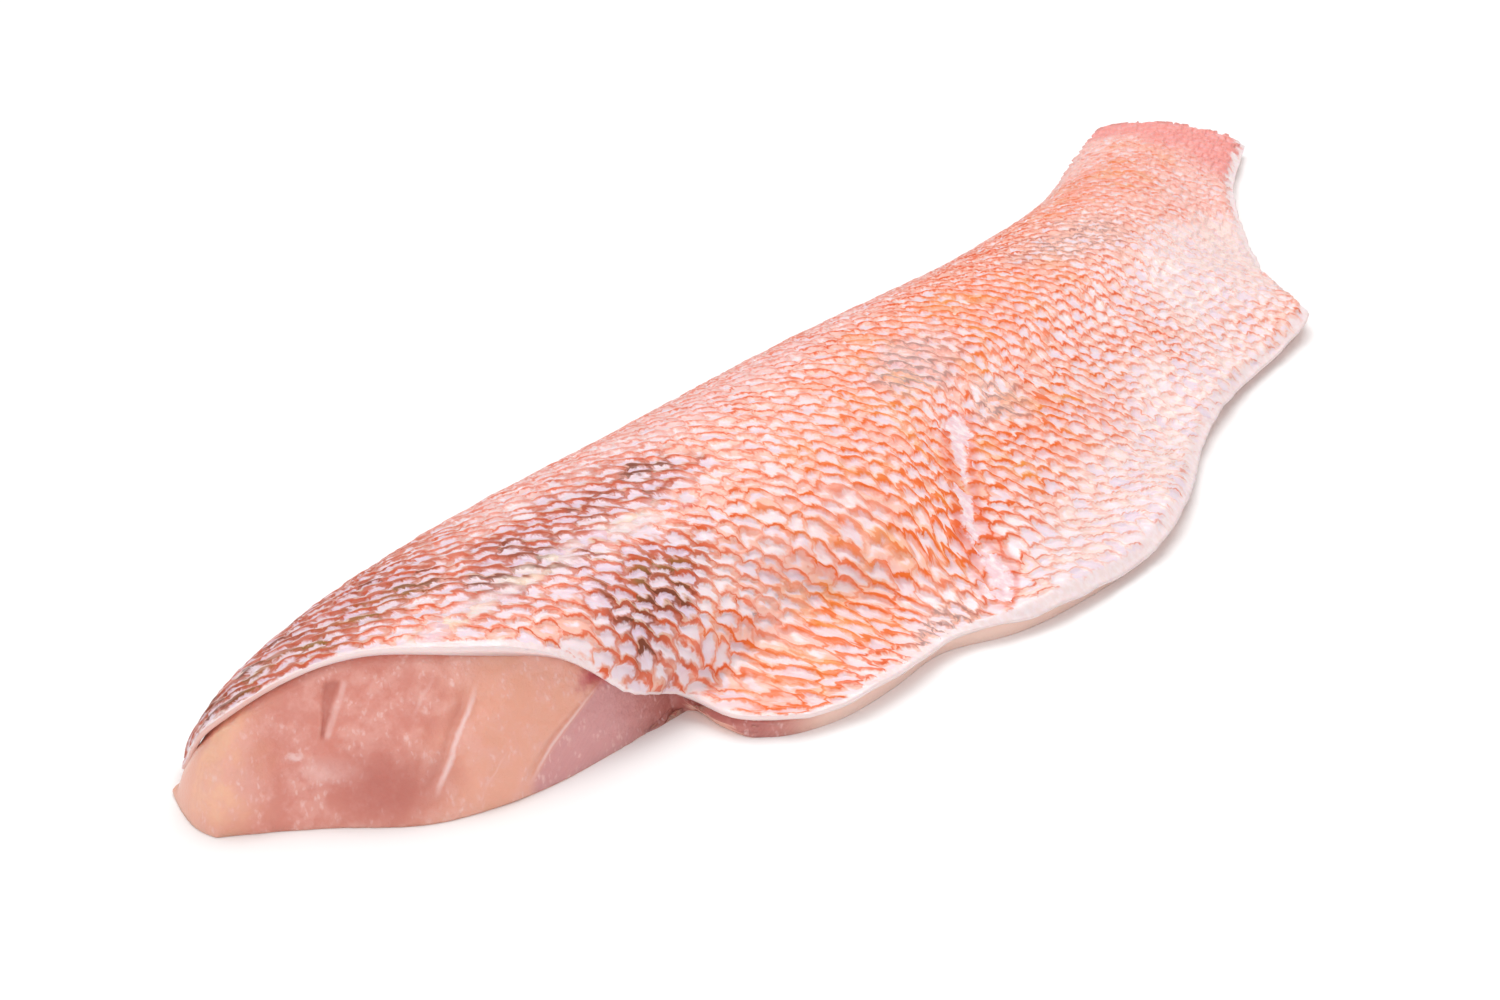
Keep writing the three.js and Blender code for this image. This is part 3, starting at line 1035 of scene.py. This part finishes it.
# %% [markdown]
# The cut face shows most, so its faces are divided again, and the top, which the skin
# hides, is thinned out. Both are found by their place and by the way that they face.

# %% Finer cut, plainer top
CUT_FINER = 3                              # cuts in each face of the head cut
CUT_ENDS_X = -55                           # mm; the head cut lies ahead of this
CUT_TURN = (-0.76, -0.65)                  # the way that it faces, seen from above
TOP_STARTS_Z = 4                           # mm
TOP_SHARE = 0.08                           # of the top's corners that are kept


def face_values(mesh, kind):
    """The centres or normals of the faces, one row each."""
    flat = np.empty(3 * len(mesh.polygons))
    mesh.polygons.foreach_get(kind, flat)
    return flat.reshape(-1, 3)


def facing_cut(mesh):
    """For each face, whether it is part of the head cut."""
    turned = face_values(mesh, "normal") @ (*CUT_TURN, 0)
    return (face_values(mesh, "center")[:, 0] / MM < CUT_ENDS_X) & (turned > 0.4)


on_cut = facing_cut(flesh.data)
flesh.data.polygons.foreach_set("select", on_cut)
pick(flesh)
bpy.ops.object.mode_set(mode="EDIT")
bpy.ops.mesh.select_mode(type="FACE")
bpy.ops.mesh.subdivide(number_cuts=CUT_FINER, smoothness=0)
bpy.ops.mesh.select_all(action="DESELECT")
bpy.ops.object.mode_set(mode="OBJECT")
print("head cut divided:", int(on_cut.sum()), "faces made finer")

centres = face_values(flesh.data, "center") / MM
normals = face_values(flesh.data, "normal")
skin_covers = (normals[:, 2] > 0.3) & (centres[:, 2] > TOP_STARTS_Z) & ~facing_cut(flesh.data)
thin_out(flesh, skin_covers, TOP_SHARE)

# %% [markdown]
# ## Marks on the cut face
# The cut shows the muscle blocks end on. White seams part them, some strong and some
# faint, and at one place the blocks have come apart in a small slit. A seam is a curve on
# the face, so it is given as a place along the cut for each height. These marks are again
# nodes that relief and colour share.

# %% Marks on the flesh
CUT_ALONG = (0.65, -0.76)                  # direction along the cut, from back to flap
CUT_FACING = (-0.7, -0.6, 0.4)
CUT_FADES_X = (-67, -60)                   # mm; the cut ends here, and the flap's rim starts
# Each seam: its place along the cut at the table, its lean and bend with height, the
# heights where it starts and ends, its half width and its strength.
SEAMS = (
    (-72.8, 0.45, 0.003, 2.5, 15.5, 0.50, 1.0),
    (-59.8, 0.03, 0.107, 1.0, 10.8, 0.42, 0.8),
    (-82.6, 0.75, 0.0, 11.4, 17.0, 0.40, 0.55),
    (-84.6, 0.44, 0.0, 12.5, 17.0, 0.22, 0.25),
    (-66.5, 0.20, 0.060, 2.0, 8.0, 0.24, 0.35),
)
MEMBRANE_SEAM = SEAMS[1]
SLIT = (-87.5, 0.31, 10.4, 16.0, 1.15)     # place, lean, low end, high end, half width


def curve(high, start, lean, bend):
    """A place along the cut that changes with height."""
    return high * lean + high * high * bend + start


def flesh_marks(board, place, normal):
    """Masks on the head cut: a dictionary of wires. The place is in mm."""
    x, y, z = board.parts(place)
    settings = {"operation": "DOT_PRODUCT"}
    facing = board.node("ShaderNodeVectorMath", settings, {0: normal, 1: CUT_FACING})
    on_cut = board.step(board.wire(facing, "Value"), 0.35, 0.7)
    on_cut = on_cut * (1 - board.step(x, *CUT_FADES_X))
    wobble = (board.noise(place, 0.3, 2.0) - 0.5) * 1.4
    along = x * CUT_ALONG[0] + y * CUT_ALONG[1]
    near = along + wobble
    seams = None
    beside = None
    for start, lean, bend, low, high, width, strength in SEAMS:
        off = near - curve(z, start, lean, bend)
        reach = board.step(z, low, low + 4) * (1 - board.step(z, high - 4, high)) * strength
        seam = (1 - board.step(off.size(), width * 0.1, width * 1.2)) * reach
        shadow = (1 - board.step((off + width * 2.2).size(), 0, width * 3)) * reach
        seams = seam if seams is None else seams.most(seam)
        beside = shadow if beside is None else beside.most(shadow)
    start, lean, low, high, width = SLIT
    off = along + wobble * 0.5 - curve(z, start, lean, 0)
    opened = board.step(z, low, high, width * 0.25, width)
    ends = board.step(z, low - 0.3, low + 0.5) * (1 - board.step(z, high - 0.3, high + 0.5))
    slit = (1 - board.step(off.size(), opened * 0.35, opened * 1.2)) * ends
    slit_lip = (1 - board.step((off - opened - 0.25).size(), 0.1, 0.6)) * ends
    marks = {"on_cut": on_cut, "along": along, "height": z}
    marks["membrane"] = board.step(near - curve(z, *MEMBRANE_SEAM[:3]), -0.8, 1.4)
    marks.update({"seams": seams * on_cut, "beside": beside * on_cut})
    marks.update({"slit": slit * on_cut, "slit lip": slit_lip * on_cut})
    return marks


print("seams on the cut:", len(SEAMS))

# %% [markdown]
# Small specks lie on the cut: fine bumps in the relief, and in the colour white painted glints
# of the wet surface, gathered in clusters. They are the cells of a Voronoi texture, each kept
# or left out by chance, and noise bends them.

# %% Specks: bumps and painted glints
GRAIN_BEND = 1.4                           # cells that noise moves a place


def specks(board, place, scale, least_chance, reach):
    """Small grains scattered through space."""
    bend = board.noise(place, 1.1 * scale, output="Color") - 0.5
    place = place + bend * (GRAIN_BEND / scale)
    inputs = {"Vector": place, "Scale": scale, "Randomness": 1.0}
    grains = board.node("ShaderNodeTexVoronoi", {}, inputs)
    chance = board.parts(board.wire(grains, "Color"))[0]
    near = 1 - board.step(board.wire(grains, "Distance"), 0.0, reach)
    return near * board.step(chance, least_chance, least_chance + 0.1)


print("grains are bent by", GRAIN_BEND, "cells")

# %% [markdown]
# ## Relief of the flesh
# The blocks bulge a little between the seams, the seams stand as fine ridges beside a
# groove, and the slit is sunken. The top is raised to meet the skin's inner face.

# %% Move the flesh
SEAM_HEIGHT = 0.14                         # mm
GROOVE_DEPTH = 0.22
SLIT_DEPTH = 0.35
MEET_SKIN = 0.6                            # mm that the top rises under the skin
BLOCKS = ((-63, 7.5, 6.5, 9), (-79, 9, 8, 9), (-93, 7, 5, 8))    # along, height, reaches
BLOCK_BULGE = 0.55
ROUGHNESS_HEIGHT = 0.9
GRAIN_HEIGHT = 0.09

relief, board = new_shaping("flesh relief")
place = board.wire(board.node("GeometryNodeInputPosition")) * (1 / MM)
normal = board.wire(board.node("GeometryNodeInputNormal"))
marks = flesh_marks(board, place, normal)
on_face = board.vector(marks["along"], marks["height"])
bulge = patches(board, on_face, BLOCKS) * marks["on_cut"] * BLOCK_BULGE
rough = (board.noise(place, 0.3, 4.0, 0.55) - 0.5) * ROUGHNESS_HEIGHT
grains = specks(board, place, 0.9, 0.72, 0.3) * marks["on_cut"] * GRAIN_HEIGHT
level_up = board.step(board.parts(normal)[2], 0.35, 0.8) * MEET_SKIN
level_up = level_up * (1 - marks["on_cut"])
height = bulge + rough * marks["on_cut"] + grains + level_up
height = height + marks["seams"] * SEAM_HEIGHT - marks["beside"] * GROOVE_DEPTH
move_outwards(board, height - marks["slit"] * SLIT_DEPTH)
apply_modifier(flesh, "Relief", "NODES", node_group=relief)
lowest = float(vertex_array(flesh.data)[:, 2].min())
print("flesh relief added, lowest point", round(lowest, 2), "mm")

# %% [markdown]
# ## The flesh's finish
# From the back to the flap the cut goes from beige over pink to beige again, and beyond the
# last seam it is a smooth lilac membrane with fine streaks. Towards the flap the membrane
# turns darker: painted shade where the skin's edge overhangs it.

# %% Blocks and membrane
FLESH_TIP = paint(244, 186, 156)
FLESH_PINK = paint(218, 136, 120)
FLESH_PALE = paint(236, 174, 162)
FLESH_BEIGE = paint(236, 168, 144)
MEMBRANE = paint(208, 142, 144)
MEMBRANE_SHADED = paint(180, 94, 88)

flesh_finish, board, shader = new_finish("raw fish flesh")
coordinates = board.node("ShaderNodeTexCoord")
place = board.wire(coordinates, "Object") * (1 / MM)
normal = board.wire(coordinates, "Normal")
marks = flesh_marks(board, place, normal)
along, high = marks["along"], marks["height"]
blurred = along - high * 0.3 + (board.noise(place, 0.15, 3.0, 0.6) - 0.5) * 14
mottled = board.noise(place, 0.3, 4.0, 0.6)
colour = board.mix(board.step(blurred, -102, -92), FLESH_TIP, FLESH_PINK)
colour = board.mix(board.step(blurred, -80, -66), colour, FLESH_BEIGE)
colour = board.mix(board.step(mottled, 0.4, 0.65) * 0.55, colour, FLESH_PALE)
# Painted shade: the membrane darkens towards the flap, under the overhanging skin edge.
membrane = board.mix(board.step(along, -50, -40), MEMBRANE, MEMBRANE_SHADED)
streaks = board.noise(board.vector(along * 2.2 - high * 2.0, high * 0.35), 1.0, 3.0)
membrane = board.mix(streaks * 0.4, membrane, FLESH_PALE)
colour = board.mix(marks["membrane"], colour, membrane)
print("nodes:", len(board.tree.nodes))

# %% [markdown]
# On the blocks lie white painted glints of the wet surface in clusters, a deeper red place
# low in the middle, and a white shred of tissue with a pale haze beside it.

# %% Painted glints, the deep place and the shred
SEAM_WHITE = paint(246, 208, 204)
FLESH_DEEP = paint(190, 102, 88)
DEEP_PLACE = (-77, 5, 0)                   # place along the cut, height
DEEPER = 0.75
SHRED = (-87.6, 8.7, 0)
HAZE = (-84.1, 7.2, 0)


def spot_share(spot):
    """1 in the middle of a spot, gone at a length a little over 1."""
    return 1 - board.step(spot.length(), 0.2, 1.1)


on_face = board.vector(along, high)
# Painted highlights: small white glints of the wet surface, gathered in clusters.
glint = specks(board, place * (1, 1, 0.5), 1.6, 0.4, 0.5)
large_glint = specks(board, place * (1, 1, 0.6), 0.9, 0.6, 0.42)
glint_clusters = board.step(board.noise(place, 0.3), 0.4, 0.62)
colour = board.mix((glint * 0.55).most(large_glint * 0.55) * glint_clusters, colour, SEAM_WHITE)
deep = (on_face - DEEP_PLACE) * (0.11, 0.17, 0)
colour = board.mix(spot_share(deep) * DEEPER, colour, FLESH_DEEP)
haze = (on_face - HAZE) * (0.22, 0.5, 0)
haze_share = 1 - board.step(haze.length(), 0.2, 1.0)
colour = board.mix(haze_share * mottled * 0.6, colour, SEAM_WHITE)
shred = (on_face - SHRED) * (0.8, 1.5, 0)
shred = shred + (board.noise(place, 1.5, output="Color") - 0.5) * 1.2
colour = board.mix(spot_share(shred) * 0.7, colour, SEAM_WHITE)
print("nodes:", len(board.tree.nodes))

# %% [markdown]
# The seams are white with a painted red shadow beside them, in their grooves. The slit is
# painted red as the shade in its depth, with a pale lip, and a spot of painted red shade
# lies at the top of the last seam, under the skin's edge.

# %% Seams, and painted shade in the slit and under the skin
FLESH_SHADE_RED = paint(190, 98, 80)
SKIN_EDGE_SHADE = paint(196, 80, 92)
SHADE_PLACE_UNDER_SKIN = (-49.8, 10.8, 0)

# Painted shadow: red in the groove beside each seam.
colour = board.mix(marks["beside"] * 0.25, colour, FLESH_SHADE_RED)
colour = board.mix(marks["seams"] * 0.8, colour, SEAM_WHITE)
# Painted shade: red in the depth of the slit.
colour = board.mix(marks["slit"] * 0.7, colour, FLESH_SHADE_RED)
colour = board.mix(marks["slit lip"] * 0.35, colour, SEAM_WHITE)
# Painted shade: a red spot under the skin's edge, at the top of the last seam.
shade_under_skin = (on_face - SHADE_PLACE_UNDER_SKIN) * (0.26, 0.5, 0)
shade_under_skin = shade_under_skin + (board.noise(place, 0.9, output="Color") - 0.5) * 0.6
colour = board.mix(spot_share(shade_under_skin) * 0.9, colour, SKIN_EDGE_SHADE)
print("nodes:", len(board.tree.nodes))

# %% [markdown]
# Off the cut the flesh is plain, beige near the head and paler as a rim under the belly
# edge. Raw flesh is moist and lets light in, so it has some subsurface scattering, a thin
# glossy coat, and a fine grain in the gloss.

# %% Rim and shine of the flesh
FLESH_RIM = paint(250, 208, 194)
RIM_STARTS_X = (-74, -56)

rim = board.mix(board.step(board.parts(place)[0], *RIM_STARTS_X), FLESH_BEIGE, FLESH_RIM)
board.feed(shader.inputs["Base Color"], board.mix(marks["on_cut"], rim, colour))
shader.inputs["Roughness"].default_value = 0.4
shader.inputs["Coat Weight"].default_value = 0.35
shader.inputs["Coat Roughness"].default_value = 0.15
shader.inputs["Subsurface Weight"].default_value = 0.3
shader.inputs["Subsurface Radius"].default_value = (1.0, 0.45, 0.3)
shader.inputs["Subsurface Scale"].default_value = 0.003
inputs = {"Height": board.noise(place, 2.5, 3.0), "Strength": 0.25, "Distance": 0.0004}
board.feed(shader.inputs["Normal"], board.wire(board.node("ShaderNodeBump", {}, inputs)))
flesh.data.materials.clear()
flesh.data.materials.append(flesh_finish)
print("finish:", flesh_finish.name)

# %% [markdown]
# ## The body
# Both pieces are shaded smooth and ride on the one body that the fillet has. The CAD solid
# that each was made from is hidden.

# %% Ride and hide the CAD solids
for piece, node in ((skin, "skin"), (flesh, "flesh")):
    pick(piece)
    bpy.ops.object.shade_smooth()
    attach(piece, "root")
    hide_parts(node)
